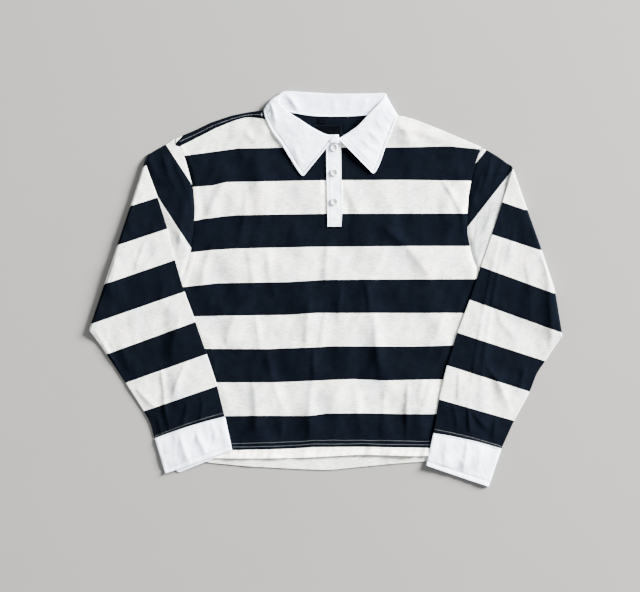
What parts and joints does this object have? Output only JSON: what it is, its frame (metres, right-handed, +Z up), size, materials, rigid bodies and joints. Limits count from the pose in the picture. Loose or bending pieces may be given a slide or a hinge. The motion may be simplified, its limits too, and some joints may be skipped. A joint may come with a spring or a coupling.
{
  "type": "rugby shirt laid flat",
  "caption": "Long-sleeved striped rugby shirt laid flat, front up, forearms folded in over the body, with a pale woven collar, button placket and cuffs.",
  "frame": {"origin": "on the floor under the middle of the laid-out shirt", "axes": "+Z up out of the shirt's front, +Y from hem to collar, +X to the wearer's left sleeve"},
  "size_m": [0.851, 0.7116, 0.0118],
  "materials": {
    "jersey": "matt heavy cotton jersey in wide navy and cream stripes",
    "woven": "matt white woven cotton",
    "button": "glossy white moulded button",
    "label": "bare dark woven ribbon"
  },
  "bodies": {
    "root": {"back_panel": "jersey", "front_panel": "jersey", "sleeve_right": "jersey", "sleeve_left": "jersey", "cuff_right": "woven", "cuff_left": "woven", "collar": "woven", "placket": "woven", "button_1": "button", "button_2": "button", "button_3": "button", "neck_label": "label", "size_tab": "label"}
  },
  "joints": []
}
